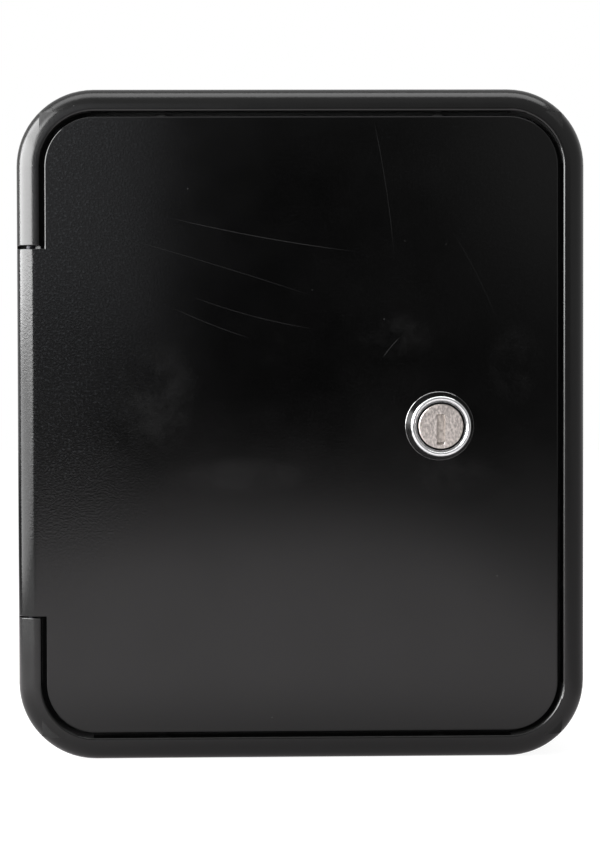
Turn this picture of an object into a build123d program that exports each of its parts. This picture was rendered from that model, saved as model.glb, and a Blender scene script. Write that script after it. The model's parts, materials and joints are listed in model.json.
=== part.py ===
"""A small lockable cash cabinet with a side-hung door, a cam lock, a note shelf and a coin tray.

+Z is up and the door faces -Y. The cabinet stands on its bottom edge, and the origin is at
the middle of the bottom of the whole object. Depths are measured back from the door's face.
"""

from build123d import *
from math import atan2, cos, degrees, radians, sin, sqrt
import os

# ---------------------------------------------------------------- Driving dimensions (mm)
# Cabinet
width = 184.0
height = 217.0
body_depth = 80.0
corner_radius = 25.0

# Front frame
frame_bar = 7.4
frame_depth = 14.0
bullnose_radius = 6.2
frame_inner_round = 0.8
ledge_inset = 13.0
ledge_front = 9.0
ledge_back = 11.5
parting_chamfer = 0.4

# Door
door_gap = 1.6
door_plate = 3.0
door_depth = 7.5
door_rim = 2.0
door_edge_round = 0.5
liner_thickness = 2.0
liner_play = 0.3

# Hinge, measured in from the left side and back from the door's face
hinge_inset = 4.5
hinge_depth = 3.4
rod_radius = 1.5
rod_play = 0.05
barrel_radius = 6.0
saddle_radius = 6.5
knuckle_bottom = 46.8
knuckle_top = 165.6
recess_bottom = 46.4
recess_top = 166.6
rod_seat = 12.0

# Casing
wall = 3.0
back_wall = 3.0
back_edge_round = 3.0
tongue_outer = 1.1
tongue_height = 2.9
groove_play = 0.1
mount_hole_radius = 2.75
mount_spacing_x = 110.0
mount_spacing_z = 150.0
mount_pad_radius = 8.0
back_recess_inset = 12.0
back_recess = 0.8

# Self-tapping screws
screw_radius = 1.25
screw_head_radius = 2.4
screw_head_height = 1.15
frame_screw_length = 12.0
liner_screw_length = 5.4
strike_screw_length = 5.1
boss_radius = 2.7
web = 1.6

# Cam lock
lock_x = 44.4
lock_z = 108.0
head_proud = 5.6
head_radius = 11.1
head_rim_radius = 9.8
barrel_thread_radius = 9.5
thread_depth = 0.5
thread_pitch = 1.0
barrel_flats = 16.0
lock_length = 12.6
plug_radius = 6.0
plug_play = 0.05
plug_face_radius = 7.25
plug_face = 5.0
plug_seat = 3.0
keyway_width = 2.7
keyway_above = 3.8
keyway_below = 5.9
cam_reach = 38.0
cam_thickness = 2.0
cam_width = 14.0
square_drive = 7.0
stop_thickness = 1.0
nut_flats = 24.0
nut_thickness = 4.0
spring_washer = 0.7

# Shelf and tray
shelf_z = 114.0
shelf_thickness = 2.5
shelf_front = 30.0
shelf_lip = 8.0
tray_width = 143.0
tray_depth = 54.0
tray_height = 30.0
tray_front = 20.0
cup_count = 5

# ---------------------------------------------------------------- Places worked out from them
face_y = head_proud / 2 - body_depth / 2
left_x = -width / 2
right_x = width / 2
mid_z = height / 2
door_inset = frame_bar + door_gap
hinge_x = left_x + hinge_inset
hinge_y = face_y + hinge_depth
ledge_middle = (frame_bar + ledge_inset) / 2
corner_x = width / 2 - corner_radius
diagonal = (corner_radius - ledge_middle) * cos(radians(45))
lock_axis = Axis((lock_x, face_y, lock_z), (0, -1, 0))

os.makedirs("parts", exist_ok=True)


def behind(depth):
    """Plane across the cabinet at this depth, drawn as seen from the front: X right, Z up."""
    return Plane(origin=(0, face_y + depth, 0), x_dir=(1, 0, 0), z_dir=(0, -1, 0))


def across_lock(proud):
    """Plane across the lock's axis, this far in front of the door's face."""
    return Plane(origin=(lock_x, face_y - proud, lock_z), x_dir=(1, 0, 0), z_dir=(0, -1, 0))


def along_lock():
    """Plane through the lock's axis: local X is the radius, local Y points out of the door."""
    return Plane(origin=(lock_x, face_y, lock_z), x_dir=(1, 0, 0), z_dir=(0, 0, -1))


def outline(inset, mode=Mode.ADD):
    """The cabinet's outline drawn in by inset, added to the sketch in hand."""
    with Locations((0, mid_z)):
        RectangleRounded(
            width - 2 * inset, height - 2 * inset, corner_radius - inset, mode=mode
        )


def save(builder, name):
    """Label a finished sub-part and write it."""
    builder.part.label = name
    export_step(builder.part, f"parts/{name}.step")


def countersunk_screw(length):
    """A countersunk self-tapping screw with a cross recess, its head at Z = 0 and pointing down."""
    recess_depth = 0.9
    recess_width = 0.6
    recess_span = 2.9
    head_edge = 0.1
    tip = 0.8
    with BuildPart() as screw:
        with BuildSketch(Plane.XZ):
            with BuildLine():
                Polyline(
                    (0, 0),
                    (screw_head_radius, 0),
                    (screw_head_radius, -head_edge),
                    (screw_radius, -screw_head_height),
                    (screw_radius, -length + tip),
                    (screw_radius - tip / 2, -length),
                    (0, -length),
                    close=True,
                )
            make_face()
        revolve(axis=Axis.Z)
        with BuildSketch(Plane.XY.offset(-recess_depth)):
            Rectangle(recess_span, recess_width)
            Rectangle(recess_width, recess_span)
        extrude(amount=recess_depth, mode=Mode.SUBTRACT)
    return screw.part


# Screws through the ledge: one at each corner and two on each side.
frame_screw_points = [
    (side * (corner_x + diagonal), mid_z + end * (mid_z - corner_radius + diagonal))
    for side in (-1, 1)
    for end in (-1, 1)
]
side_screw_rise = 53.5
frame_screw_points += [
    (side * (width / 2 - ledge_middle), mid_z + end * side_screw_rise)
    for side in (-1, 1)
    for end in (-1, 1)
]

# Screws that hold the strike plate to the ledge, above and below the cam.
strike_screw_rise = 9.0
strike_screw_points = [
    (width / 2 - ledge_middle, lock_z + end * strike_screw_rise) for end in (-1, 1)
]

# ---------------------------------------------------------------- front_frame
tip_round = 0.3
screw_play = 0.3
with BuildPart() as front_frame:
    with BuildSketch(behind(frame_depth)):
        outline(0)
    extrude(amount=frame_depth)
    fillet(front_frame.faces().sort_by(Axis.Y)[0].edges(), bullnose_radius)
    # Opening for the door, the ledge behind it and the space behind the ledge
    with BuildSketch(behind(ledge_front)):
        outline(frame_bar)
    extrude(amount=ledge_front, mode=Mode.SUBTRACT)
    fillet(front_frame.faces().sort_by(Axis.Y)[0].inner_wires()[0].edges(), frame_inner_round)
    with BuildSketch(behind(frame_depth)):
        outline(frame_bar)
    extrude(amount=frame_depth - ledge_back, mode=Mode.SUBTRACT)
    with BuildSketch(behind(frame_depth)):
        outline(ledge_inset)
    extrude(amount=frame_depth, mode=Mode.SUBTRACT)
    # Shadow line where the frame meets the casing, and the groove for the casing's tongue
    chamfer(
        front_frame.faces().sort_by(Axis.Y)[-1].outer_wire().edges(), parting_chamfer
    )
    with BuildSketch(behind(frame_depth)):
        outline(tongue_outer - groove_play)
        outline(wall + groove_play, mode=Mode.SUBTRACT)
    extrude(amount=tongue_height + groove_play, mode=Mode.SUBTRACT)
    # Recess for the hinge knuckle, with a round saddle behind it
    with BuildSketch(Plane.XY.offset(recess_bottom)):
        with Locations((hinge_x, hinge_y)):
            Circle(saddle_radius)
        with Locations((hinge_x, hinge_y - saddle_radius / 2)):
            Rectangle(2 * saddle_radius, saddle_radius)
    extrude(amount=recess_top - recess_bottom, mode=Mode.SUBTRACT)
    # Rounded corners where the recess cuts the bar
    for cut_z in (recess_bottom, recess_top):
        cut_face = front_frame.faces().filter_by(Axis.Z).filter_by_position(
            Axis.Z, cut_z - 0.01, cut_z + 0.01
        )[0]
        fillet(cut_face.edges().sort_by(Axis.Y)[:3], tip_round)
    # Seats for the ends of the hinge rod, open at the back
    for seat_z in (recess_bottom - rod_seat, recess_top):
        with BuildSketch(Plane.XY.offset(seat_z)):
            with Locations((hinge_x, hinge_y)):
                Circle(rod_radius + rod_play)
            with Locations((hinge_x, hinge_y + frame_depth / 2)):
                Rectangle(2 * (rod_radius + rod_play), frame_depth)
        extrude(amount=rod_seat, mode=Mode.SUBTRACT)
    # Screw holes in the ledge
    with Locations(behind(ledge_front)):
        with Locations(*frame_screw_points):
            CounterSinkHole(
                radius=screw_radius + screw_play,
                counter_sink_radius=screw_head_radius + 0.1,
                depth=frame_depth,
            )
        with Locations(*strike_screw_points):
            Hole(radius=screw_radius + 0.1, depth=frame_depth)
save(front_frame, "front_frame")

# ---------------------------------------------------------------- casing
with BuildPart() as casing:
    with BuildSketch(behind(body_depth)):
        outline(0)
    extrude(amount=body_depth - frame_depth)
    fillet(casing.faces().sort_by(Axis.Y)[-1].edges(), back_edge_round)
    chamfer(casing.faces().sort_by(Axis.Y)[0].edges(), parting_chamfer)
    with BuildSketch(behind(body_depth - back_wall)):
        outline(wall)
    extrude(amount=body_depth, mode=Mode.SUBTRACT)
    # Tongue that locates the frame, left out where the hinge rod's keepers stand
    with BuildSketch(behind(frame_depth)):
        outline(tongue_outer)
        outline(wall, mode=Mode.SUBTRACT)
    extrude(amount=tongue_height)
    # Keepers that close the rod's seats from behind, rooted in the wall
    keeper_play = 0.1
    keeper_root = 10.0
    keeper_overlap = 0.2
    for keeper_z in (recess_bottom - rod_seat, recess_top):
        with BuildSketch(Plane.XY.offset(keeper_z + keeper_play)):
            with Locations((hinge_x, hinge_y + rod_radius + keeper_play)):
                Rectangle(
                    2 * rod_radius,
                    frame_depth - hinge_depth - rod_radius - keeper_play,
                    align=(Align.CENTER, Align.MIN),
                )
            with Locations((left_x + wall - keeper_overlap, face_y + frame_depth)):
                Rectangle(
                    hinge_inset + rod_radius - wall + keeper_overlap,
                    keeper_root,
                    align=(Align.MIN, Align.MIN),
                )
        extrude(amount=rod_seat - 2 * keeper_play)
    # Columns for the frame's screws, with webs to the walls
    with BuildSketch(behind(body_depth - back_wall)):
        with Locations(*frame_screw_points):
            Circle(boss_radius)
    extrude(amount=body_depth - back_wall - ledge_back)
    web_length = ledge_middle - wall + 0.5
    with BuildSketch(behind(body_depth - back_wall)):
        for x, z in frame_screw_points:
            at_corner = abs(z - mid_z) > side_screw_rise + 1
            across = 1 if x > 0 else -1
            up = (1 if z > mid_z else -1) if at_corner else 0
            angle = atan2(up, across)
            middle = (x + cos(angle) * web_length / 2, z + sin(angle) * web_length / 2, 0)
            with Locations(Location(middle, (0, 0, degrees(angle)))):
                Rectangle(web_length, web)
    extrude(amount=body_depth - back_wall - frame_depth)
    with Locations(behind(ledge_back)):
        with Locations(*frame_screw_points):
            Hole(radius=screw_radius, depth=frame_screw_length)
    # Rails for the note shelf
    rail_width = 5.0
    rail_height = 2.0
    rail_play = 0.2
    rail_root = 0.2
    rail_back = body_depth - back_wall
    with BuildSketch(behind(rail_back)):
        for rail_z in (
            shelf_z - rail_height,
            shelf_z + shelf_thickness + rail_play,
        ):
            for side in (-1, 1):
                rail_x = side * (width / 2 - wall - (rail_width - rail_root) / 2)
                with Locations((rail_x, rail_z)):
                    Rectangle(
                        rail_width + rail_root, rail_height, align=(Align.CENTER, Align.MIN)
                    )
    extrude(amount=rail_back - shelf_front)
    # Holes for fastening the cabinet to a wall, in pads that stand level with the back's rim
    with BuildSketch(behind(body_depth)):
        outline(back_recess_inset)
        with Locations((0, mid_z)):
            with GridLocations(mount_spacing_x, mount_spacing_z, 2, 2):
                Circle(mount_pad_radius, mode=Mode.SUBTRACT)
    extrude(amount=back_recess, mode=Mode.SUBTRACT)
    with Locations(behind(body_depth - back_wall)):
        with Locations((0, mid_z)):
            with GridLocations(mount_spacing_x, mount_spacing_z, 2, 2):
                Hole(radius=mount_hole_radius)
save(casing, "casing")

# ---------------------------------------------------------------- frame_screws
frame_screw = countersunk_screw(frame_screw_length)
with BuildPart() as frame_screws:
    with Locations(behind(ledge_front)):
        with Locations(*frame_screw_points):
            add(frame_screw)
save(frame_screws, "frame_screws")

# ---------------------------------------------------------------- hinge_rod
rod_end_play = 0.5
with BuildPart() as hinge_rod:
    with BuildSketch(Plane.XY.offset(recess_bottom - rod_seat + rod_end_play)):
        with Locations((hinge_x, hinge_y)):
            Circle(rod_radius)
    extrude(amount=recess_top - recess_bottom + 2 * (rod_seat - rod_end_play))
    chamfer(hinge_rod.edges().filter_by(GeomType.CIRCLE), 0.3)
save(hinge_rod, "hinge_rod")

# ---------------------------------------------------------------- knuckle, moulded on the door
knuckle_length = knuckle_top - knuckle_bottom
barrel_flank = hinge_depth + sqrt(barrel_radius**2 - hinge_inset**2)
rib_count = 6
rib_thickness = 3.0
pocket_pitch = (knuckle_length - rib_thickness) / (rib_count - 1)
pocket_front = 6.6
pocket_left = 2.2
pocket_width = 6.6
plate_joint = door_inset + 3.0
with BuildPart() as knuckle:
    with BuildSketch(Plane.XY.offset(knuckle_bottom)):
        with BuildLine(Plane(origin=(left_x, face_y, 0))):
            Line((plate_joint, 0), (bullnose_radius, 0))
            RadiusArc((bullnose_radius, 0), (0, bullnose_radius), bullnose_radius)
            Line((0, bullnose_radius), (0, barrel_flank))
            ThreePointArc(
                (0, barrel_flank),
                (hinge_inset, hinge_depth + barrel_radius),
                (hinge_inset + barrel_radius, hinge_depth),
            )
            Line((hinge_inset + barrel_radius, hinge_depth), (plate_joint, door_plate))
            Line((plate_joint, door_plate), (plate_joint, 0))
        make_face()
    extrude(amount=knuckle_length)
    for end_face in (knuckle.faces().sort_by(Axis.Z)[0], knuckle.faces().sort_by(Axis.Z)[-1]):
        fillet(end_face.edges().sort_by(Axis.Y)[:2], tip_round)
    # Pockets between the ribs, on the side away from the door's face
    for index in range(rib_count - 1):
        pocket_z = knuckle_bottom + rib_thickness + index * pocket_pitch
        with BuildSketch(Plane.XY.offset(pocket_z)):
            with Locations((left_x + pocket_left, face_y + pocket_front)):
                Rectangle(
                    pocket_width,
                    barrel_radius,
                    align=(Align.MIN, Align.MIN),
                )
        extrude(amount=pocket_pitch - rib_thickness, mode=Mode.SUBTRACT)

# ---------------------------------------------------------------- door_panel
lock_boss_radius = 15.0
liner_inset = door_inset + door_rim + liner_play
liner_boss_radius = 3.0
pan_width = width - 2 * (door_inset + door_rim)
pan_height = height - 2 * (door_inset + door_rim)
rib_pitch_x = 66.0
rib_pitch_z = 41.0
liner_screw_points = [
    (column * rib_pitch_x, mid_z + end * 2 * rib_pitch_z) for column in (-1, 0, 1) for end in (-1, 1)
]
with BuildPart() as door_panel:
    with BuildSketch(behind(door_depth)):
        outline(door_inset)
    extrude(amount=door_depth)
    fillet(door_panel.faces().sort_by(Axis.Y)[0].edges(), door_edge_round)
    with BuildSketch(behind(door_depth)):
        outline(door_inset + door_rim)
    extrude(amount=door_depth - door_plate, mode=Mode.SUBTRACT)
    add(knuckle.part)
    # Ribs and bosses behind the plate, up to the liner
    with BuildSketch(behind(door_depth - liner_thickness)):
        outline(door_inset + door_rim)
        outline(door_inset + door_rim + web, mode=Mode.SUBTRACT)
        for row in (-2, -1, 1, 2):
            with Locations((0, mid_z + row * rib_pitch_z)):
                Rectangle(pan_width, web)
        for column in (-1, 0, 1):
            with Locations((column * rib_pitch_x, mid_z)):
                Rectangle(web, pan_height)
        with Locations(*liner_screw_points):
            Circle(liner_boss_radius)
    extrude(amount=door_depth - liner_thickness - door_plate)
    with BuildSketch(behind(door_depth)):
        with Locations((lock_x, lock_z)):
            Circle(lock_boss_radius)
    extrude(amount=door_depth - door_plate)
    # Hole for the lock's barrel, with two flats that stop it turning
    with BuildSketch(behind(door_depth)):
        with Locations((lock_x, lock_z)):
            Circle(barrel_thread_radius + 0.1)
            Rectangle(
                barrel_flats + 0.2, 2 * barrel_thread_radius + 1, mode=Mode.INTERSECT
            )
    extrude(amount=door_depth, mode=Mode.SUBTRACT)
    with Locations(behind(door_depth - liner_thickness)):
        with Locations(*liner_screw_points):
            with Locations(Location((0, 0, 0), (180, 0, 0))):
                Hole(radius=screw_radius, depth=liner_screw_length - liner_thickness)
    # Bore for the hinge rod
    with BuildSketch(Plane.XY.offset(knuckle_bottom)):
        with Locations((hinge_x, hinge_y)):
            Circle(rod_radius + rod_play)
    extrude(amount=knuckle_length, mode=Mode.SUBTRACT)
save(door_panel, "door_panel")

# ---------------------------------------------------------------- door_liner
with BuildPart() as door_liner:
    with BuildSketch(behind(door_depth)):
        outline(liner_inset)
        with Locations((lock_x, lock_z)):
            Circle(lock_boss_radius + liner_play, mode=Mode.SUBTRACT)
    extrude(amount=liner_thickness)
    with Locations(Plane(origin=(0, face_y + door_depth, 0), x_dir=(1, 0, 0), z_dir=(0, 1, 0))):
        with Locations(*[(x, -z) for x, z in liner_screw_points]):
            CounterSinkHole(
                radius=screw_radius + 0.2,
                counter_sink_radius=screw_head_radius + 0.1,
            )
save(door_liner, "door_liner")

# ---------------------------------------------------------------- liner_screws
liner_screw = countersunk_screw(liner_screw_length)
with BuildPart() as liner_screws:
    with Locations(Plane(origin=(0, face_y + door_depth, 0), x_dir=(1, 0, 0), z_dir=(0, 1, 0))):
        with Locations(*[(x, -z) for x, z in liner_screw_points]):
            add(liner_screw)
save(liner_screws, "liner_screws")

# ---------------------------------------------------------------- door_bumpers
bumper_radius = 2.5
bumper_x = 45.0
bumper_height = ledge_front - door_depth - 0.1
bumper_round = 0.4
with BuildPart() as door_bumpers:
    with BuildSketch(behind(ledge_front)):
        for bumper_z in (ledge_middle, height - ledge_middle):
            with Locations((-bumper_x, bumper_z), (bumper_x, bumper_z)):
                Circle(bumper_radius)
    extrude(amount=bumper_height)
    fillet(door_bumpers.faces().group_by(Axis.Y)[0].edges(), bumper_round)
save(door_bumpers, "door_bumpers")

# ---------------------------------------------------------------- strike_plate
strike_height = 28.0
strike_sheet = 1.2
strike_outer = 8.0
strike_play = 0.1
strike_bend = 1.0
strike_inner = ledge_inset + strike_play + strike_sheet
strike_span = ledge_back - ledge_front + 2 * strike_sheet + strike_play
with BuildPart() as strike_plate:
    with BuildSketch(Plane.XY.offset(lock_z - strike_height / 2)):
        with Locations((right_x - strike_outer, face_y + ledge_front - strike_sheet)):
            Rectangle(strike_inner - strike_outer, strike_span, align=(Align.MAX, Align.MIN))
        with Locations((right_x, face_y + ledge_front)):
            Rectangle(
                ledge_inset + strike_play,
                strike_span - 2 * strike_sheet,
                align=(Align.MAX, Align.MIN),
                mode=Mode.SUBTRACT,
            )
    extrude(amount=strike_height)
    bend = strike_plate.edges().filter_by(Axis.Z).filter_by(
        lambda edge: edge.center().X < right_x - strike_inner + 0.01
    )
    fillet(bend, strike_bend)
    with Locations(behind(ledge_front - strike_sheet)):
        with Locations(*strike_screw_points):
            CounterSinkHole(
                radius=screw_radius + 0.1,
                counter_sink_radius=screw_head_radius + 0.15,
                counter_sink_angle=90,
            )
save(strike_plate, "strike_plate")

# ---------------------------------------------------------------- strike_screws
strike_screw = countersunk_screw(strike_screw_length)
with BuildPart() as strike_screws:
    with Locations(behind(ledge_front - strike_sheet)):
        with Locations(*strike_screw_points):
            add(strike_screw)
save(strike_screws, "strike_screws")

# ---------------------------------------------------------------- lock_housing
rim_outer_round = 0.8
rim_inner_round = 0.6
rim_ledge_radius = 8.3
face_cup = 0.5
base_bevel = 0.1
base_height = 0.5
thread_start = -3.0
thread_count = 9
thread_points = []
for turn in range(thread_count):
    crest = thread_start - turn * thread_pitch
    thread_points.append((barrel_thread_radius, crest))
    thread_points.append((barrel_thread_radius - thread_depth, crest - thread_pitch / 2))
stop_ring_inner = 7.9
stop_ring_outer = 9.3
stop_reach = 2 * head_radius
with BuildPart() as lock_housing:
    with BuildSketch(along_lock()):
        with BuildLine():
            Polyline(
                (plug_radius + plug_play, -lock_length),
                (plug_radius + plug_play, plug_seat),
                (plug_face_radius + face_cup, plug_seat),
                (plug_face_radius + face_cup, head_proud - rim_inner_round),
                (rim_ledge_radius, head_proud - rim_inner_round),
            )
            inner_round = CenterArc(
                (rim_ledge_radius + rim_inner_round, head_proud - rim_inner_round),
                rim_inner_round,
                180,
                -90,
            )
            outer_round = CenterArc(
                (head_rim_radius - rim_outer_round, head_proud - rim_outer_round),
                rim_outer_round,
                90,
                -90,
            )
            Line(inner_round @ 1, outer_round @ 0)
            Polyline(
                outer_round @ 1,
                (head_radius - base_bevel, base_height + base_bevel),
                (head_radius, base_height),
                (head_radius, 0),
                (barrel_thread_radius, 0),
                *thread_points,
                (barrel_thread_radius, thread_start - thread_count * thread_pitch),
                (barrel_thread_radius - 0.4, -lock_length),
                (plug_radius + plug_play, -lock_length),
            )
        make_face()
    revolve(axis=lock_axis)
    # Flats on the barrel
    with BuildSketch(across_lock(0)):
        for side in (-1, 1):
            with Locations((side * (barrel_flats / 2 + head_radius / 2), 0)):
                Rectangle(head_radius, 2 * head_radius)
    extrude(amount=-lock_length - 1, mode=Mode.SUBTRACT)
    # Stop for the quarter turn, on the barrel's end
    with BuildSketch(across_lock(-lock_length - stop_thickness)):
        Circle(stop_ring_outer)
        Circle(stop_ring_inner, mode=Mode.SUBTRACT)
        with BuildLine():
            Polyline(
                (0, 0),
                (-stop_reach, 0),
                (-stop_reach, -stop_reach),
                (stop_reach, -stop_reach),
                (stop_reach, -stop_reach / 2),
                close=True,
            )
        make_face(mode=Mode.INTERSECT)
        Rectangle(barrel_flats, 2 * head_radius, mode=Mode.INTERSECT)
    extrude(amount=stop_thickness)
save(lock_housing, "lock_housing")

# ---------------------------------------------------------------- lock_plug
wafer_count = 5
wafer_pitch = 1.9
wafer_first = -1.2
wafer_thickness = 1.0
wafer_play = 0.05
wafer_width = 7.1
wafer_window = (2.9, 7.0)
spring_radius = 0.55
spring_length = 3.0
spring_x = wafer_width / 2 + wafer_play + spring_radius + 0.2
shutter_pocket_front = 4.2
shutter_pocket_back = 0.8
shutter_pivot_x = 1.35
shutter_pivot_proud = 3.75
shutter_pocket = (3.8, 9.2)
shutter_pin_radius = 0.22
shutter_pin_below = 5.9
shutter_pin_length = 10.2
pin_play = 0.1
keyway_inner_height = 8.4
keyway_end = 1.5
face_round = 0.35
plug_rest = 0.05
drive_end = -lock_length - stop_thickness - cam_thickness - 0.1
cam_thread_radius = 2.0
cam_thread_length = 5.0
wafer_places = [wafer_first - index * wafer_pitch for index in range(wafer_count)]


def shutter_pivot(rise):
    """Level plane centred on the dust shutter's pivot, this far above the lock's axis."""
    return Plane(origin=(lock_x + shutter_pivot_x, face_y - shutter_pivot_proud, lock_z + rise))


with BuildPart() as lock_plug:
    with BuildSketch(along_lock()):
        with BuildLine():
            Polyline(
                (0, -lock_length - plug_rest),
                (plug_radius, -lock_length - plug_rest),
                (plug_radius, plug_seat + plug_rest),
                (plug_face_radius, plug_seat + plug_rest),
                (plug_face_radius, plug_face - face_round),
                (plug_face_radius - face_round / 3, plug_face - face_round / 3),
                (plug_face_radius - face_round, plug_face),
                (0, plug_face),
                close=True,
            )
        make_face()
    revolve(axis=lock_axis)
    with BuildSketch(across_lock(-lock_length)):
        Rectangle(square_drive, square_drive)
    extrude(amount=drive_end + lock_length)
    # Keyway: long in the face, a little shorter behind it
    with BuildSketch(across_lock(plug_face)):
        with Locations((0, keyway_above)):
            Rectangle(keyway_width, keyway_above + keyway_below, align=(Align.CENTER, Align.MAX))
    extrude(amount=-(plug_face - plug_seat), mode=Mode.SUBTRACT)
    with BuildSketch(across_lock(plug_seat)):
        with Locations((0, keyway_above)):
            Rectangle(keyway_width, keyway_inner_height, align=(Align.CENTER, Align.MAX))
    extrude(amount=-(plug_seat + lock_length - keyway_end), mode=Mode.SUBTRACT)
    # Pocket for the dust shutter and holes for its pin
    with BuildSketch(across_lock(shutter_pocket_front)):
        with Locations((0.15, keyway_above)):
            Rectangle(*shutter_pocket, align=(Align.CENTER, Align.MAX))
    extrude(amount=-(shutter_pocket_front - shutter_pocket_back), mode=Mode.SUBTRACT)
    with BuildSketch(shutter_pivot(-shutter_pin_below - pin_play)):
        Circle(shutter_pin_radius + 0.01)
    extrude(amount=shutter_pin_length + 2 * pin_play, mode=Mode.SUBTRACT)
    # Slots for the wafers and pockets for their springs
    for place in wafer_places:
        with BuildSketch(across_lock(place + wafer_thickness / 2 + wafer_play)):
            Rectangle(wafer_width + 2 * wafer_play, 2 * plug_radius + 1)
            with Locations((spring_x, 0)):
                Rectangle(2 * spring_radius + 0.1, spring_length + 0.1)
        extrude(amount=-(wafer_thickness + 2 * wafer_play), mode=Mode.SUBTRACT)
    # Thread for the cam screw
    with BuildSketch(across_lock(drive_end)):
        Circle(cam_thread_radius)
    extrude(amount=cam_thread_length, mode=Mode.SUBTRACT)
save(lock_plug, "lock_plug")

# ---------------------------------------------------------------- lock_wafers
with BuildPart() as lock_wafers:
    for place in wafer_places:
        with BuildSketch(across_lock(place + wafer_thickness / 2)):
            Circle(plug_radius - 0.1)
            Rectangle(wafer_width, 2 * plug_radius, mode=Mode.INTERSECT)
            Rectangle(*wafer_window, mode=Mode.SUBTRACT)
        extrude(amount=-wafer_thickness)
save(lock_wafers, "lock_wafers")

# ---------------------------------------------------------------- wafer_springs
spring_turns = 6
spring_wire = 0.12
with BuildPart() as wafer_springs:
    for place in wafer_places:
        spring_plane = Plane(
            origin=(lock_x + spring_x, face_y - place, lock_z - spring_length / 2),
            x_dir=(1, 0, 0),
            z_dir=(0, -1, 0),
        )
        turn_height = spring_length / spring_turns
        wave = []
        for turn in range(spring_turns):
            wave.append((spring_radius - 0.1, turn * turn_height))
            wave.append((spring_radius, (turn + 0.5) * turn_height))
        with BuildSketch(spring_plane):
            with BuildLine():
                Polyline(
                    (spring_radius - 0.1 - spring_wire, 0),
                    *wave,
                    (spring_radius - 0.1, spring_length),
                    (spring_radius - 0.1 - spring_wire, spring_length),
                    close=True,
                )
            make_face()
        revolve(axis=Axis(spring_plane.origin, (0, 0, 1)))
save(wafer_springs, "wafer_springs")

# ---------------------------------------------------------------- dust_shutter
shutter_sheet = 0.4
shutter_left = -1.2
shutter_height = 8.8
shutter_barrel_radius = 0.42
with BuildPart() as dust_shutter:
    with BuildSketch(shutter_pivot(keyway_above - 0.2 - shutter_height)):
        with Locations((0, -shutter_barrel_radius)):
            Rectangle(
                shutter_pivot_x - shutter_left, shutter_sheet, align=(Align.MAX, Align.MIN)
            )
        Circle(shutter_barrel_radius)
        Circle(shutter_pin_radius + 0.03, mode=Mode.SUBTRACT)
    extrude(amount=shutter_height)
save(dust_shutter, "dust_shutter")

# ---------------------------------------------------------------- shutter_pin
with BuildPart() as shutter_pin:
    with BuildSketch(shutter_pivot(-shutter_pin_below)):
        Circle(shutter_pin_radius)
    extrude(amount=shutter_pin_length)
save(shutter_pin, "shutter_pin")

# ---------------------------------------------------------------- lock_washer
lock_washer_radius = 13.0
washer_split = (0.8, 6.0)
with BuildPart() as lock_washer:
    with BuildSketch(across_lock(-door_depth - spring_washer)):
        Circle(lock_washer_radius)
        Circle(barrel_thread_radius + 0.2, mode=Mode.SUBTRACT)
        with Locations((0, lock_washer_radius - 1.0)):
            Rectangle(*washer_split, mode=Mode.SUBTRACT)
    extrude(amount=spring_washer)
save(lock_washer, "lock_washer")

# ---------------------------------------------------------------- lock_nut
nut_front = -door_depth - spring_washer
nut_bevel_width = 2.6
nut_bevel_height = 1.5
with BuildPart() as lock_nut:
    with BuildSketch(across_lock(nut_front - nut_thickness)):
        RegularPolygon(nut_flats / 2, 6, major_radius=False)
        Circle(barrel_thread_radius + 0.02, mode=Mode.SUBTRACT)
    extrude(amount=nut_thickness)
    with BuildSketch(along_lock()):
        with BuildLine():
            Polyline(
                (nut_flats / 2 + 0.4, nut_front + 0.1),
                (nut_flats / 2 + 0.4 + nut_bevel_width, nut_front + 0.1),
                (nut_flats / 2 + 0.4 + nut_bevel_width, nut_front + 0.1 - nut_bevel_height),
                close=True,
            )
        make_face()
    revolve(axis=lock_axis, mode=Mode.SUBTRACT)
save(lock_nut, "lock_nut")

# ---------------------------------------------------------------- stop_plate
stop_lug_turn = 66.0
stop_lug_start = 80.0
with BuildPart() as stop_plate:
    with BuildSketch(across_lock(-lock_length - stop_thickness)):
        Circle(stop_ring_inner - 0.2)
        with BuildLine():
            lug = CenterArc((0, 0), stop_ring_outer, stop_lug_start, stop_lug_turn)
            Line((0, 0), lug @ 0)
            Line((0, 0), lug @ 1)
        make_face()
        Rectangle(square_drive, square_drive, mode=Mode.SUBTRACT)
    extrude(amount=stop_thickness - 0.1)
save(stop_plate, "stop_plate")

# ---------------------------------------------------------------- lock_cam
cam_tip_width = 12.0
cam_tip_round = 2.0
cam_front = -lock_length - stop_thickness - 0.05
with BuildPart() as lock_cam:
    with BuildSketch(across_lock(cam_front - cam_thickness)):
        with BuildLine():
            CenterArc((0, 0), cam_width / 2, 180, 180)
            Line((cam_width / 2, 0), (cam_tip_width / 2, cam_reach))
            Line((cam_tip_width / 2, cam_reach), (-cam_tip_width / 2, cam_reach))
            Line((-cam_tip_width / 2, cam_reach), (-cam_width / 2, 0))
        make_face()
        Rectangle(square_drive, square_drive, mode=Mode.SUBTRACT)
    extrude(amount=cam_thickness)
    fillet(lock_cam.edges().filter_by(Axis.Y).sort_by(Axis.Z)[-2:], cam_tip_round)
save(lock_cam, "lock_cam")

# ---------------------------------------------------------------- cam_washer
cam_washer_front = cam_front - cam_thickness - 0.05
cam_washer_thickness = 1.0
cam_washer_radius = 6.5
cam_washer_bore = 2.2
cam_washer_bevel = 0.2
with BuildPart() as cam_washer:
    with BuildSketch(across_lock(cam_washer_front - cam_washer_thickness)):
        Circle(cam_washer_radius)
        Circle(cam_washer_bore, mode=Mode.SUBTRACT)
    extrude(amount=cam_washer_thickness)
    rims = cam_washer.edges().filter_by(GeomType.CIRCLE).sort_by(SortBy.RADIUS)[-2:]
    chamfer(rims, cam_washer_bevel)
save(cam_washer, "cam_washer")

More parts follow.
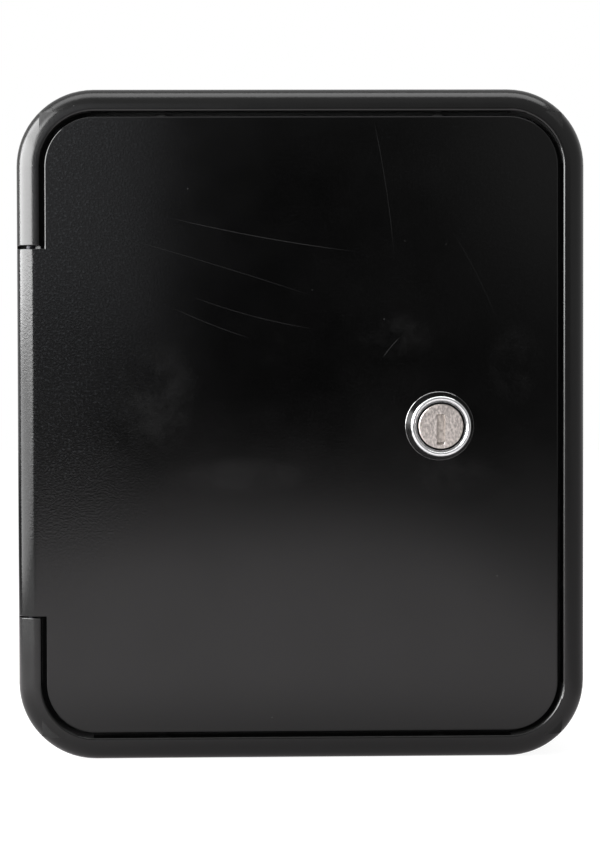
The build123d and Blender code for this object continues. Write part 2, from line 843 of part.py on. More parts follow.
# ---------------------------------------------------------------- cam_screw
cam_screw_head = 3.0
cam_screw_flats = 8.0
cam_screw_dimple_radius = 2.2
cam_screw_dimple = 0.8
cam_screw_front = cam_washer_front - cam_washer_thickness
with BuildPart() as cam_screw:
    with BuildSketch(across_lock(cam_screw_front - cam_screw_head)):
        RegularPolygon(cam_screw_flats / 2, 6, major_radius=False)
    extrude(amount=cam_screw_head)
    with BuildSketch(across_lock(cam_screw_front)):
        Circle(cam_thread_radius - 0.05)
    extrude(amount=cam_thread_length)
    with BuildSketch(across_lock(cam_screw_front - cam_screw_head)):
        Circle(cam_screw_dimple_radius)
    extrude(amount=cam_screw_dimple, mode=Mode.SUBTRACT)
save(cam_screw, "cam_screw")

# ---------------------------------------------------------------- note_shelf
shelf_play = 0.4
shelf_width = width - 2 * wall - 2 * shelf_play
shelf_depth = body_depth - back_wall - shelf_front - shelf_play
shelf_bottom = shelf_z + rail_play / 2
lip_width = shelf_width - 2 * rail_width - 2.0
lip_thickness = 2.0
dip_radius = 16.0
dip_depth = 3.0
shelf_rib_pitch = 30.0
shelf_rib_count = 5
shelf_rib_height = 3.0
with BuildPart() as note_shelf:
    with BuildSketch(Plane.XY.offset(shelf_bottom)):
        with Locations((0, face_y + shelf_front)):
            Rectangle(shelf_width, shelf_depth, align=(Align.CENTER, Align.MIN))
    extrude(amount=shelf_thickness)
    # Raised front lip, clear of the rails, with a dip in the middle for the fingers
    with BuildSketch(behind(shelf_front + lip_thickness)):
        with Locations((0, shelf_bottom)):
            Rectangle(lip_width, shelf_lip, align=(Align.CENTER, Align.MIN))
        with Locations((0, shelf_bottom + shelf_lip + dip_radius - dip_depth)):
            Circle(dip_radius, mode=Mode.SUBTRACT)
    extrude(amount=lip_thickness)
    # Stiffening ribs underneath
    with BuildSketch(Plane.XY.offset(shelf_bottom)):
        with Locations((0, face_y + shelf_front + shelf_depth / 2)):
            with GridLocations(shelf_rib_pitch, 0, shelf_rib_count, 1):
                Rectangle(web, shelf_depth - 4.0)
    extrude(amount=-shelf_rib_height)
save(note_shelf, "note_shelf")

# ---------------------------------------------------------------- coin_tray
tray_floor = wall + 0.1
cup_width = 25.5
cup_pitch = 28.2
cup_length = 46.0
cup_depth = 26.0
cup_round = 14.0
tray_end_round = 6.5
tray_edge_round = 1.5
grip_rise = 19.0
grip_depth = 1.2
grip_height = 7.0
grip_length = 24.0
with BuildPart() as coin_tray:
    with BuildSketch(behind(tray_front + tray_depth)) as tray_end:
        with Locations((0, tray_floor)):
            Rectangle(tray_width, tray_height, align=(Align.CENTER, Align.MIN))
        fillet(tray_end.vertices().group_by(Axis.Y)[0], tray_end_round)
    extrude(amount=tray_depth)
    fillet(coin_tray.faces().sort_by(Axis.Y)[0].edges(), tray_edge_round)
    fillet(coin_tray.faces().sort_by(Axis.Y)[-1].edges(), tray_edge_round)
    for index in range(cup_count):
        cup_x = (index - (cup_count - 1) / 2) * cup_pitch
        cup_plane = Plane(
            origin=(
                cup_x - cup_width / 2,
                face_y + tray_front + tray_depth / 2,
                tray_floor + tray_height - cup_depth,
            ),
            x_dir=(0, 1, 0),
            z_dir=(1, 0, 0),
        )
        with BuildSketch(cup_plane):
            with Locations((0, cup_depth)):
                RectangleRounded(cup_length, 2 * cup_depth, cup_round)
        extrude(amount=cup_width, mode=Mode.SUBTRACT)
    # Finger grips at the two ends
    with BuildSketch(behind(tray_front + (tray_depth + grip_length) / 2)):
        for side in (-1, 1):
            with Locations((side * tray_width / 2, tray_floor + grip_rise)):
                Rectangle(2 * grip_depth, grip_height)
    extrude(amount=grip_length, mode=Mode.SUBTRACT)
save(coin_tray, "coin_tray")
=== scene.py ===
"""Looks, light and camera for the small lockable cash cabinet. Metres, +Z up, door facing -Y."""

import json
import math

import bpy
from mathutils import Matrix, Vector


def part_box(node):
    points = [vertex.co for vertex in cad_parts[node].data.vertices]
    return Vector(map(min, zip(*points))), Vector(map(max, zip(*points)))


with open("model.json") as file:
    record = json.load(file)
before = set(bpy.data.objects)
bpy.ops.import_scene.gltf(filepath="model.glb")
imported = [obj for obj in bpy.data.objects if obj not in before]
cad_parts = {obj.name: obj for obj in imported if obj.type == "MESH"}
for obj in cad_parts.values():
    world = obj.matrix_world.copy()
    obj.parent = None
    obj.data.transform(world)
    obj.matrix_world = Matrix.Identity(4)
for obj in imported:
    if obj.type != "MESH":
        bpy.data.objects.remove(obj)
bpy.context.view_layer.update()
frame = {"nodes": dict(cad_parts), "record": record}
nodes = frame["nodes"]

MM = 0.001

# ------------------------------------------------------------------ Places read from the frame
frame_low, frame_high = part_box("front_frame")
lock_low, lock_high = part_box("lock_housing")
face_y = frame_low.y
back_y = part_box("casing")[1].y
hinge_side_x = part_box("door_panel")[0].x
lock_x = (lock_low.x + lock_high.x) / 2
lock_z = (lock_low.z + lock_high.z) / 2

# ------------------------------------------------------------------ Camera
IMAGE_LONG_SIDE = 853
CAMERA_DISTANCE = 1.0
CAMERA_LEFT = 0.060
CAMERA_HEIGHT = 0.142
CAMERA_YAW = math.radians(1.75)
CAMERA_PITCH = math.radians(1.94)
CAMERA_ROLL = math.radians(0.19)
FOCAL_PIXELS = 3100.0
SHIFT_PIXELS = 89.0
SENSOR = 36.0

camera_data = bpy.data.cameras.new("camera")
camera_data.sensor_width = SENSOR
camera_data.lens = FOCAL_PIXELS * SENSOR / IMAGE_LONG_SIDE
camera_data.shift_x = SHIFT_PIXELS / IMAGE_LONG_SIDE
camera = bpy.data.objects.new("camera", camera_data)
camera.location = (-CAMERA_LEFT, face_y - CAMERA_DISTANCE, CAMERA_HEIGHT)
camera.rotation_mode = "XYZ"
camera.rotation_euler = (math.pi / 2 - CAMERA_PITCH, CAMERA_ROLL, -CAMERA_YAW)
bpy.context.scene.collection.objects.link(camera)
bpy.context.scene.camera = camera
bpy.context.scene.view_settings.view_transform = "Standard"


# ------------------------------------------------------------------ Node helpers
class Nodes:
    """A short way to write a node tree."""

    def __init__(self, tree):
        self.tree = tree
        self.tree.nodes.clear()

    def add(self, kind, inputs=None, **settings):
        node = self.tree.nodes.new(kind)
        for key, value in settings.items():
            setattr(node, key, value)
        for key, value in (inputs or {}).items():
            if isinstance(value, bpy.types.NodeSocket):
                self.tree.links.new(value, node.inputs[key])
            else:
                node.inputs[key].default_value = value
        return node

    def place(self):
        return self.add("ShaderNodeTexCoord").outputs["Object"]

    def split(self, vector):
        return self.add("ShaderNodeSeparateXYZ", {0: vector}).outputs

    def math(self, operation, first, second=0.0):
        node = self.add("ShaderNodeMath", {0: first, 1: second}, operation=operation)
        return node.outputs[0]

    def squared_sum(self, first, second):
        """first squared plus second squared."""
        return self.math(
            "ADD", self.math("MULTIPLY", first, first), self.math("MULTIPLY", second, second)
        )

    def mix(self, factor, first, second):
        node = self.add("ShaderNodeMix", {"Factor": factor}, data_type="RGBA")
        for name, value in (("A", first), ("B", second)):
            socket = [s for s in node.inputs if s.name == name and s.type == "RGBA"][0]
            if isinstance(value, bpy.types.NodeSocket):
                self.tree.links.new(value, socket)
            else:
                socket.default_value = value
        return [s for s in node.outputs if s.type == "RGBA"][0]

    def ramp(self, value, low, high, start=0.0, end=1.0):
        """Goes smoothly from start to end while value goes from low to high."""
        node = self.add("ShaderNodeMapRange", {0: value}, interpolation_type="SMOOTHSTEP")
        for index, number in enumerate((low, high, start, end)):
            node.inputs[index + 1].default_value = number
        return node.outputs[0]

    def noise(self, vector, scale, detail=2.0, roughness=0.5):
        node = self.add(
            "ShaderNodeTexNoise",
            {"Vector": vector, "Scale": scale, "Detail": detail, "Roughness": roughness},
        )
        return node.outputs["Fac"]

    def moved(self, vector, location, turn):
        """Coordinates counted from location, turned about Y so that X runs along the turn."""
        return self.add(
            "ShaderNodeMapping",
            {"Vector": vector, "Location": location, "Rotation": (0, turn, 0)},
            vector_type="TEXTURE",
        ).outputs[0]


def grey(value, warm=0.0):
    """A grey as RGBA: warm above 0 leans to red, below 0 to blue."""
    return (value * (1 + warm), value, value * (1 - warm), 1.0)


def new_material(name):
    """An empty material and its node tree."""
    material = bpy.data.materials.new(name)
    material.use_nodes = True
    return material, Nodes(material.node_tree)


def finish_material(tree, shader):
    """Makes shader the material's surface."""
    tree.add("ShaderNodeOutputMaterial", {"Surface": shader.outputs[0]})


# ------------------------------------------------------------------ Wear on the door
# Each scratch: start x and z, end x and z, bow to the side, half width (mm) and strength.
SCRATCHES = (
    ((-45, 176), (21, 164), -1.1, 0.11, 0.38),
    ((-61, 170), (7, 149), 0.4, 0.10, 0.24),
    ((-38, 151), (7, 139), -1.4, 0.10, 0.24),
    ((-43, 147), (-15, 136), -0.6, 0.10, 0.24),
    ((23, 208), (30, 161), 0.8, 0.10, 0.24),
    ((26, 130), (32, 137), 0.3, 0.13, 0.5),
    ((48, 172), (64, 140), 1.0, 0.10, 0.14),
)
# Each smudge: centre x and z, radii along X and Z (mm) and strength.
SMUDGES = (
    ((30, 137), 14, 9, 0.8),
    ((69, 128), 10, 15, 0.7),
    ((-48, 118), 16, 22, 0.7),
    ((-20, 92), 26, 7, 0.5),
    ((48, 92), 18, 8, 0.5),
)
# A scratch is at full strength over this share of its half width, and comes in and goes
# out over these shares of its length.
SCRATCH_CORE = 0.3
SCRATCH_FADE_IN = 0.2
SCRATCH_FADE_OUT = 0.3


def scratch(tree, place, start, end, bow, half_width, strength):
    """One thin bowed line: 1 on the line, 0 away from it."""
    run = Vector((end[0] - start[0], end[1] - start[1])) * MM
    length = run.length
    local = tree.split(
        tree.moved(place, (start[0] * MM, 0, start[1] * MM), -math.atan2(run.y, run.x))
    )
    left = tree.math("SUBTRACT", length, local[0])
    arch = tree.math("MULTIPLY", tree.math("MULTIPLY", local[0], left), 4 * bow * MM / length**2)
    away = tree.math("ABSOLUTE", tree.math("SUBTRACT", local[2], arch))
    line = tree.ramp(away, SCRATCH_CORE * half_width * MM, half_width * MM, strength, 0.0)
    ends = tree.math(
        "MULTIPLY",
        tree.ramp(local[0], 0.0, SCRATCH_FADE_IN * length),
        tree.ramp(left, 0.0, SCRATCH_FADE_OUT * length),
    )
    return tree.math("MULTIPLY", line, ends)


def smudge(tree, place, centre, radius_x, radius_z, strength):
    """One soft patch left by fingers: strength in the middle, fading to 0 at its radii."""
    local = tree.split(tree.moved(place, (centre[0] * MM, 0, centre[1] * MM), 0.0))
    across = tree.math("DIVIDE", local[0], radius_x * MM)
    up = tree.math("DIVIDE", local[2], radius_z * MM)
    return tree.ramp(tree.squared_sum(across, up), 0.0, 1.0, strength, 0.0)


def largest(tree, values):
    """The largest of several values."""
    result = values[0]
    for value in values[1:]:
        result = tree.math("MAXIMUM", result, value)
    return result


# ------------------------------------------------------------------ Materials
# Noise: scale, detail and roughness. Metal's scale is one of its own settings.
GRAIN_NOISE = (1400.0, 3.0, 0.6)
PLASTIC_CLOUDS = (18.0, 4.0, 0.6)
DOOR_CLOUDS = (22.0, 4.0, 0.6)
RUBBER_NOISE = (2500.0, 3.0, 0.6)
METAL_DETAIL = (4.0, 0.65)
RUBBER_COLOUR = grey(0.02)
RUBBER_ROUGHNESS = (0.6, 0.85)
RUBBER_GRAIN = 0.4
RUBBER_BUMP = 3e-5
# Span of a noise that the slow changes of gloss follow.
CLOUD_SPAN = (0.3, 0.7)
# Plastic's darkest and lightest colour, as a share of its own, and its warmth.
TINT_SHARES = (0.85, 1.15)
TINT_WARMTH = 0.02
PLASTIC_BUMP = 1.6e-5
GLOSS_CHANGE = 0.03
# Dust specks: cell scale, where a speck's edge fades, which cells have one, and its grey.
SPECK_SCALE = 300.0
SPECK_RADII = (0.02, 0.055)
SPECK_CHOICE = (0.93, 0.95)
SPECK_COLOUR = 0.08


def specks(tree, place):
    """Sparse pale dust specks and nicks, each about a tenth of a millimetre across."""
    cells = tree.add(
        "ShaderNodeTexVoronoi", {"Vector": place, "Scale": SPECK_SCALE, "Randomness": 1.0}
    )
    dot = tree.ramp(cells.outputs["Distance"], *SPECK_RADII, 1.0, 0.0)
    chosen = tree.ramp(tree.split(cells.outputs["Color"])[0], *SPECK_CHOICE)
    return tree.math("MULTIPLY", dot, chosen)


def cloudy_tint(tree, broad, colour):
    """The plastic's colour, slightly uneven."""
    dark, light = (grey(colour * share, TINT_WARMTH) for share in TINT_SHARES)
    return tree.mix(broad, dark, light)


# The frame's opening: its inset, the depth over which it turns matt, and the back's skin.
OPENING_INSET = 7.45 * MM
MATT_DEPTH = 1.0 * MM
MATT_ROUGHNESS = 0.8
BACK_SKIN = 2.0 * MM


def in_opening(tree, place):
    """1 on surfaces that lie inside the front frame's opening, 0 on the outside of the cabinet."""
    split = tree.split(place)
    half_width = (frame_high.x - frame_low.x) / 2 - OPENING_INSET
    half_height = (frame_high.z - frame_low.z) / 2 - OPENING_INSET
    middle_z = (frame_high.z + frame_low.z) / 2
    away_x = tree.math("ABSOLUTE", split[0])
    away_z = tree.math("ABSOLUTE", tree.math("SUBTRACT", split[2], middle_z))
    within = tree.math(
        "MULTIPLY",
        tree.math("LESS_THAN", away_x, half_width),
        tree.math("LESS_THAN", away_z, half_height),
    )
    inner = tree.math("LESS_THAN", split[1], back_y - BACK_SKIN)
    deep = tree.ramp(split[1], face_y, face_y + MATT_DEPTH)
    return tree.math("MULTIPLY", within, tree.math("MULTIPLY", inner, deep))


def moulded_plastic(name, colour, roughness, ior=1.5, matt_inside=False):
    """Black moulded plastic: spark-eroded grain, uneven gloss and a few dust specks."""
    material, tree = new_material(name)
    place = tree.place()
    fine = tree.noise(place, *GRAIN_NOISE)
    broad = tree.noise(place, *PLASTIC_CLOUDS)
    gloss = tree.ramp(broad, *CLOUD_SPAN, roughness - GLOSS_CHANGE, roughness + GLOSS_CHANGE)
    if matt_inside:
        matt = tree.math("MULTIPLY", in_opening(tree, place), MATT_ROUGHNESS)
        gloss = tree.math("MAXIMUM", gloss, matt)
    tint = cloudy_tint(tree, broad, colour)
    dust = specks(tree, place)
    bump = tree.add(
        "ShaderNodeBump", {"Strength": 1.0, "Distance": PLASTIC_BUMP, "Height": fine}
    )
    shader = tree.add(
        "ShaderNodeBsdfPrincipled",
        {
            "Base Color": tree.mix(dust, tint, grey(SPECK_COLOUR)),
            "Roughness": gloss,
            "Normal": bump.outputs[0],
            "IOR": ior,
        },
    )
    finish_material(tree, shader)
    return material


# The door's grain, and a painted sheen on its lighter crests: full beside the hinge and high up,
# fainter beyond these spans (m).
GRAIN_SPAN_X = (0.012, 0.052)
GRAIN_FAR = 0.12
GRAIN_SPAN_Z = (0.05, 0.11)
GRAIN_LOW = 0.3
GRAIN_BUMP = 3.2e-5
CREST_SPAN = (0.50, 0.72)
CREST_SHARE = 0.5
# A cool lighter grey for the grain crests: partly real grain, partly a painted sheen of the left
# light.
CREST_SHEEN_COLOUR = grey(0.02, -0.08)
DOOR_GLOSS_CHANGE = 0.02
# Smudges are broken up by a slanting noise.
STREAK_TURN = 0.6
STREAK_NOISE = (70.0, 5.0, 0.7)
STREAK_SPAN = (0.35, 0.65)
SMUDGE_ROUGHNESS = 0.07
SMUDGE_SHARE = 0.16
SMUDGE_COLOUR = 0.011
SCRATCH_ROUGHNESS = 0.30
SCRATCH_SHARE = 0.3
SCRATCH_COLOUR = 0.05
SCRATCH_STRENGTH = 0.6
SCRATCH_DEPTH = 3e-5
DOOR_SPECK_COLOUR = 0.09


def door_plastic(name, colour, roughness, ior):
    """The door's plastic: coarser grain near the hinge, polished by hands elsewhere, scratched;
    its lighter grain crests near the hinge and high up are partly grain, partly a painted sheen.
    """
    material, tree = new_material(name)
    place = tree.place()
    split = tree.split(place)
    fine = tree.noise(place, *GRAIN_NOISE)
    broad = tree.noise(place, *DOOR_CLOUDS)
    streaky = tree.noise(tree.moved(place, (0, 0, 0), STREAK_TURN), *STREAK_NOISE)
    marks = largest(tree, [scratch(tree, place, *values) for values in SCRATCHES])
    patches = largest(tree, [smudge(tree, place, *values) for values in SMUDGES])
    patches = tree.math("MULTIPLY", patches, tree.ramp(streaky, *STREAK_SPAN))
    dust = specks(tree, place)
    grain_from, grain_to = (hinge_side_x + offset for offset in GRAIN_SPAN_X)
    grain_and_sheen = tree.ramp(split[0], grain_from, grain_to, 1.0, GRAIN_FAR)
    high_up = tree.ramp(split[2], *GRAIN_SPAN_Z, GRAIN_LOW, 1.0)
    grain_and_sheen = tree.math("MULTIPLY", grain_and_sheen, high_up)
    gloss = tree.ramp(
        broad, *CLOUD_SPAN, roughness - DOOR_GLOSS_CHANGE, roughness + DOOR_GLOSS_CHANGE
    )
    gloss = tree.math("ADD", gloss, tree.math("MULTIPLY", patches, SMUDGE_ROUGHNESS))
    gloss = tree.math("ADD", gloss, tree.math("MULTIPLY", marks, SCRATCH_ROUGHNESS))
    tint = cloudy_tint(tree, broad, colour)
    # Lighter crests beside the hinge and high up: partly real grain, partly a painted sheen of the
    # left light.
    crest_grain_and_sheen = tree.math("MULTIPLY", tree.ramp(fine, *CREST_SPAN), grain_and_sheen)
    tint = tree.mix(tree.math("MULTIPLY", crest_grain_and_sheen, CREST_SHARE), tint, CREST_SHEEN_COLOUR)
    tint = tree.mix(tree.math("MULTIPLY", patches, SMUDGE_SHARE), tint, grey(SMUDGE_COLOUR))
    tint = tree.mix(tree.math("MULTIPLY", marks, SCRATCH_SHARE), tint, grey(SCRATCH_COLOUR))
    tint = tree.mix(dust, tint, grey(DOOR_SPECK_COLOUR))
    grain = tree.add(
        "ShaderNodeBump", {"Strength": grain_and_sheen, "Distance": GRAIN_BUMP, "Height": fine}
    )
    cut = tree.add(
        "ShaderNodeBump",
        {
            "Strength": SCRATCH_STRENGTH,
            "Distance": SCRATCH_DEPTH,
            "Height": marks,
            "Normal": grain.outputs[0],
        },
        invert=True,
    )
    shader = tree.add(
        "ShaderNodeBsdfPrincipled",
        {"Base Color": tint, "Roughness": gloss, "Normal": cut.outputs[0], "IOR": ior},
    )
    finish_material(tree, shader)
    return material


# The lock's face: the ring gap's radii, how deep the sunk part starts, and the flank's radius.
GAP_INNER = 7.21 * MM
GAP_OUTER = 7.79 * MM
GAP_TOP = 0.95 * MM
FLANK_INNER = 9.84 * MM
ZONE_EDGE = 0.03 * MM
TARNISH_SHARE = 0.5
TARNISH_COLOUR = grey(0.38, 0.12)
# Near black painted shade for the ring gap round the plug.
GAP_SHADE_COLOUR = grey(0.004)
# Grey for the head's flank: painted shade standing in for the dark room's reflection.
FLANK_SHADE_COLOUR = grey(0.26)


def lock_zones(tree, place, tint):
    """Painted shade in the ring gap round the plug, tarnish in the keyway, and painted shade on
    the head's flank standing in for a dark reflection.
    """
    split = tree.split(place)
    across = tree.math("SUBTRACT", split[0], lock_x)
    up = tree.math("SUBTRACT", split[2], lock_z)
    radius = tree.math("SQRT", tree.squared_sum(across, up))
    depth = tree.math("SUBTRACT", split[1], lock_low.y)
    gap = tree.math(
        "MULTIPLY",
        tree.ramp(radius, GAP_INNER, GAP_INNER + ZONE_EDGE),
        tree.ramp(radius, GAP_OUTER, GAP_OUTER + ZONE_EDGE, 1.0, 0.0),
    )
    sunk = tree.ramp(depth, GAP_TOP, GAP_TOP + ZONE_EDGE)
    flank = tree.ramp(radius, FLANK_INNER, FLANK_INNER + 2 * ZONE_EDGE)
    tint = tree.mix(tree.math("MULTIPLY", sunk, TARNISH_SHARE), tint, TARNISH_COLOUR)
    # Painted shade: the sunk part of the ring gap is darkened to near black.
    tint = tree.mix(tree.math("MULTIPLY", sunk, gap), tint, GAP_SHADE_COLOUR)
    # Painted shade: the flank's metal is greyed to stand in for a dark reflection.
    return tree.mix(flank, tint, FLANK_SHADE_COLOUR)


METAL_BUMP = 2e-5
MOTTLE_SPAN = (0.35, 0.65)
METAL_GLOSS_SPAN = (0.25, 0.75)
METAL_GLOSS_SHARES = (0.8, 1.25)


def metal(
    name,
    colour,
    roughness,
    streak=(1.0, 1.0, 1.0),
    grain=0.15,
    scale=900.0,
    mottle=0.9,
    on_lock_face=False,
):
    """Mottled metal, its grain stretched along any axis whose streak is below 1."""
    material, tree = new_material(name)
    place = tree.place()
    stretched = tree.add("ShaderNodeMapping", {"Vector": place, "Scale": streak}).outputs[0]
    fine = tree.noise(stretched, scale, *METAL_DETAIL)
    patchy = tree.ramp(fine, *MOTTLE_SPAN)
    smooth, rough = (roughness * share for share in METAL_GLOSS_SHARES)
    gloss = tree.ramp(fine, *METAL_GLOSS_SPAN, smooth, rough)
    tint = tree.mix(patchy, tuple(c * mottle for c in colour[:3]) + (1.0,), colour)
    if on_lock_face:
        tint = lock_zones(tree, place, tint)
    bump = tree.add("ShaderNodeBump", {"Strength": grain, "Distance": METAL_BUMP, "Height": fine})
    shader = tree.add(
        "ShaderNodeBsdfPrincipled",
        {"Base Color": tint, "Roughness": gloss, "Normal": bump.outputs[0], "Metallic": 1.0},
    )
    finish_material(tree, shader)
    return material


def rubber(name):
    """Dull rubber with a fine grain."""
    material, tree = new_material(name)
    fine = tree.noise(tree.place(), *RUBBER_NOISE)
    gloss = tree.ramp(fine, *CLOUD_SPAN, *RUBBER_ROUGHNESS)
    bump = tree.add(
        "ShaderNodeBump", {"Strength": RUBBER_GRAIN, "Distance": RUBBER_BUMP, "Height": fine}
    )
    shader = tree.add(
        "ShaderNodeBsdfPrincipled",
        {"Base Color": RUBBER_COLOUR, "Roughness": gloss, "Normal": bump.outputs[0]},
    )
    finish_material(tree, shader)
    return material


# Each material: the function that makes it, and its settings.
RECIPES = {
    "black_moulding": (
        moulded_plastic,
        {"colour": 0.0012, "roughness": 0.20, "ior": 1.47, "matt_inside": True},
    ),
    "door_moulding": (door_plastic, {"colour": 0.0004, "roughness": 0.12, "ior": 1.45}),
    "liner_moulding": (moulded_plastic, {"colour": 0.016, "roughness": 0.45}),
    "shelf_moulding": (moulded_plastic, {"colour": 0.035, "roughness": 0.5}),
    "tray_moulding": (moulded_plastic, {"colour": 0.028, "roughness": 0.42}),
    "black_rubber": (rubber, {}),
    "zinc_steel": (metal, {"colour": (0.60, 0.61, 0.64, 1.0), "roughness": 0.3}),
    "bright_steel": (
        metal,
        {"colour": (0.62, 0.62, 0.63, 1.0), "roughness": 0.22, "streak": (1.0, 1.0, 0.05)},
    ),
    "lock_chrome": (
        metal,
        {
            "colour": (0.90, 0.91, 0.92, 1.0),
            "roughness": 0.14,
            "grain": 0.05,
            "on_lock_face": True,
        },
    ),
    "plug_nickel": (
        metal,
        {
            "colour": (0.73, 0.67, 0.63, 1.0),
            "roughness": 0.36,
            "streak": (1.0, 1.0, 0.5),
            "grain": 0.5,
            "scale": 1900.0,
            "mottle": 0.55,
            "on_lock_face": True,
        },
    ),
    "lock_brass": (metal, {"colour": (0.68, 0.48, 0.20, 1.0), "roughness": 0.3}),
    "blackened_steel": (metal, {"colour": (0.03, 0.03, 0.033, 1.0), "roughness": 0.38}),
}
MATERIALS = {name: make(name, **settings) for name, (make, settings) in RECIPES.items()}
slot_of = {entry["node"]: entry["material_slot"] for entry in frame["record"]["subparts"]}
for node_name, node in nodes.items():
    node.data.materials.clear()
    node.data.materials.append(MATERIALS[slot_of[node_name]])

# ------------------------------------------------------------------ Floor
FLOOR_RADIUS = 2.4
FLOOR_SIDES = 96
FLOOR_DROP = 0.0001
FLOOR_WHITE = 0.92
# Reflections see a pinkish glow that rises with the distance from the cabinet's middle; its
# dimming near the cabinet is a painted contact shadow.
FLOOR_TINT = (1.0, 0.945, 0.965, 1.0)
NEAR_SPAN = (0.04, 0.30)
PAINTED_SHADOW_GLOW = (0.28, 0.90)
# It ends in an arch ahead of the door: where it fades, the x its spine starts from, the
# spine's lean, and how steep the arch is to the left and to the right.
FAR_SPAN = (0.78, 1.72)
ARCH_X = 0.005
ARCH_LEAN = 0.065
ARCH_LEFT = 3.5
ARCH_RIGHT = 8.0
# A dimmer margin beyond the arch on the right.
MARGIN_SPAN_X = (0.03, 0.12)
MARGIN_SPAN_Y = (0.7, 1.6)
MARGIN_GLOW = 0.32
PAPER_NOISE_SCALE = 40.0
PAPER_GREYS = (0.16, 0.18)
floor_mesh = bpy.data.meshes.new("floor")
floor_rim = [
    (
        FLOOR_RADIUS * math.cos(math.tau * i / FLOOR_SIDES),
        FLOOR_RADIUS * math.sin(math.tau * i / FLOOR_SIDES),
        0,
    )
    for i in range(FLOOR_SIDES)
]
floor_mesh.from_pydata(floor_rim, [], [list(range(FLOOR_SIDES))])
floor = bpy.data.objects.new("floor", floor_mesh)
floor.location.z = -FLOOR_DROP
bpy.context.scene.collection.objects.link(floor)
floor_material, tree = new_material("floor_paper")
place = tree.place()
distance = tree.add("ShaderNodeVectorMath", {0: place}, operation="LENGTH").outputs["Value"]
# Painted contact shadow: the reflected glow is dimmed near the cabinet.
near = tree.ramp(distance, *NEAR_SPAN, *PAINTED_SHADOW_GLOW)
floor_split = tree.split(place)
forward = tree.math("SUBTRACT", face_y, floor_split[1])
spine = tree.math("ADD", tree.math("MULTIPLY", forward, ARCH_LEAN), ARCH_X)
aside = tree.math("SUBTRACT", floor_split[0], spine)
spread = tree.math(
    "MAXIMUM",
    tree.math("MULTIPLY", aside, -ARCH_LEFT),
    tree.math("MULTIPLY", aside, ARCH_RIGHT),
)
reach = tree.math("SQRT", tree.squared_sum(spread, forward))
far = tree.ramp(reach, *FAR_SPAN, 1.0, 0.0)
margin = tree.math(
    "MULTIPLY",
    tree.ramp(aside, *MARGIN_SPAN_X),
    tree.ramp(forward, *MARGIN_SPAN_Y, MARGIN_GLOW, 0.0),
)
reflected = tree.math("MULTIPLY", near, tree.math("MAXIMUM", far, margin))
is_camera = tree.add("ShaderNodeLightPath").outputs["Is Camera Ray"]
direct = tree.ramp(is_camera, 0.0, 1.0, 0.0, FLOOR_WHITE)
shown = tree.math("MAXIMUM", direct, reflected)
paper_grain = tree.noise(place, PAPER_NOISE_SCALE)
shader = tree.add(
    "ShaderNodeBsdfPrincipled",
    {
        "Base Color": tree.mix(paper_grain, *(grey(value) for value in PAPER_GREYS)),
        "Roughness": 0.8,
        "Specular IOR Level": 0.1,
        "Emission Color": tree.mix(is_camera, FLOOR_TINT, grey(1.0)),
        "Emission Strength": shown,
    },
)
finish_material(tree, shader)
floor_mesh.materials.append(floor_material)


# ------------------------------------------------------------------ Light
def soft_box(name, place, aim, size, radiance, colour=(1.0, 1.0, 1.0)):
    """A rectangular light panel: size is (across, up), radiance as the object sees it."""
    light = bpy.data.lights.new(name, "AREA")
    light.color = colour
    light.shape = "RECTANGLE"
    light.size, light.size_y = size
    light.energy = radiance * math.pi * size[0] * size[1]
    holder = bpy.data.objects.new(name, light)
    holder.location = place
    direction = Vector(aim) - Vector(place)
    holder.rotation_euler = direction.to_track_quat("-Z", "Y").to_euler()
    holder.visible_camera = False
    bpy.context.scene.collection.objects.link(holder)


LEFT_X = -0.62
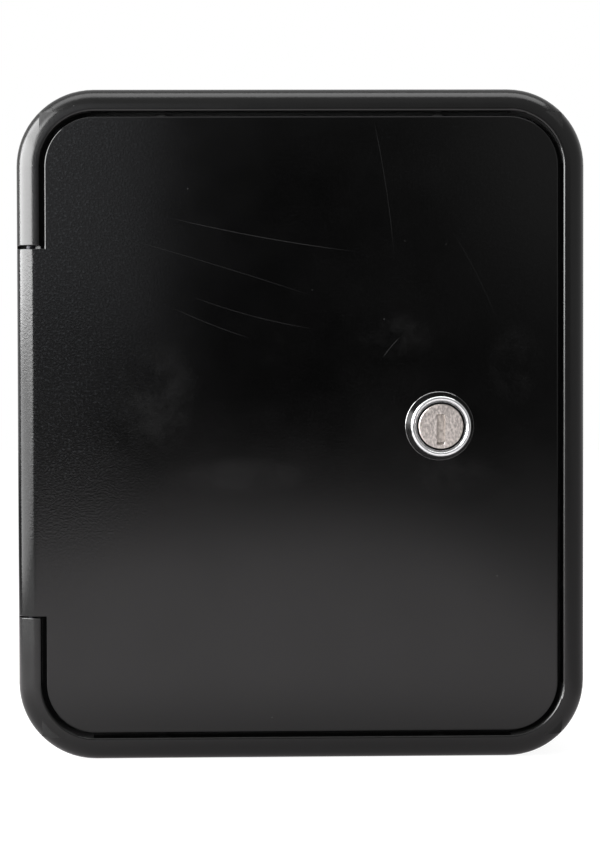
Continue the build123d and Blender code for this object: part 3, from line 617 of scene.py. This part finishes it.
# Each left panel: name, middle along Y, middle height, its length and height, and radiance.
LEFT_PANELS = (
    ("left_box", -0.55, 0.30, 1.46, 0.32, 15.0),
    ("left_low", -0.55, 0.07, 1.46, 0.12, 4.5),
    ("left_high", -0.34, 0.66, 1.04, 0.38, 12.0),
)
for panel_name, panel_y, panel_z, panel_length, panel_height, panel_radiance in LEFT_PANELS:
    soft_box(
        panel_name,
        (LEFT_X, panel_y, panel_z),
        (0, panel_y, panel_z),
        (panel_length, panel_height),
        panel_radiance,
    )
TOP_Y = -0.065
TOP_Z = 0.92
TOP_SIZE = (1.2, 0.41)
TOP_RADIANCE = 3.0
soft_box("top_box", (0, TOP_Y, TOP_Z), (0, TOP_Y, 0), TOP_SIZE, TOP_RADIANCE)
# Two cool cards ahead of the door, one reaching further right than the other.
CARD_Y = face_y - 1.25
CARD_Z = 0.53
CARD_SIZE = (0.5, 0.82)
CARD_RADIANCE = 0.64
CARD_COLOUR = (0.94, 0.95, 1.0)
for card_name, card_right in (("near_card", -0.035), ("far_card", -0.075)):
    card_x = card_right - CARD_SIZE[0] / 2
    soft_box(
        card_name,
        (card_x, CARD_Y, CARD_Z),
        (card_x, 0, CARD_Z),
        CARD_SIZE,
        CARD_RADIANCE,
        CARD_COLOUR,
    )

# The room's glow by direction. Each ramp has its two ends along an axis, then the value at
# each end; the two for the right are multiplied.
BACK_SPAN_Y = (-0.3, 0.5, 0.0, 0.6)
CEILING_SPAN_Z = (0.03, 0.16, 0.0, 0.28)
RIGHT_SPAN_X = (0.085, 0.15, 0.0, 0.4)
RIGHT_SPAN_Z = (-0.02, 0.06, 0.15, 1.0)
AROUND_SPAN_Y = (-0.975, -0.80, 0.0, 0.45)
ROOM_GLOW = 0.005
world = bpy.data.worlds.new("studio")
bpy.context.scene.world = world
world.use_nodes = True
tree = Nodes(world.node_tree)
toward = tree.split(tree.add("ShaderNodeTexCoord").outputs["Generated"])
back = tree.ramp(toward[1], *BACK_SPAN_Y)
ceiling = tree.ramp(toward[2], *CEILING_SPAN_Z)
right = tree.math(
    "MULTIPLY", tree.ramp(toward[0], *RIGHT_SPAN_X), tree.ramp(toward[2], *RIGHT_SPAN_Z)
)
around = tree.ramp(toward[1], *AROUND_SPAN_Y)
room = largest(tree, [back, ceiling, right, around])
room = tree.math("ADD", room, ROOM_GLOW)
is_camera = tree.add("ShaderNodeLightPath").outputs["Is Camera Ray"]
seen = tree.math("MAXIMUM", room, is_camera)
background = tree.add("ShaderNodeBackground", {"Color": grey(1.0), "Strength": seen})
tree.add("ShaderNodeOutputWorld", {"Surface": background.outputs[0]})
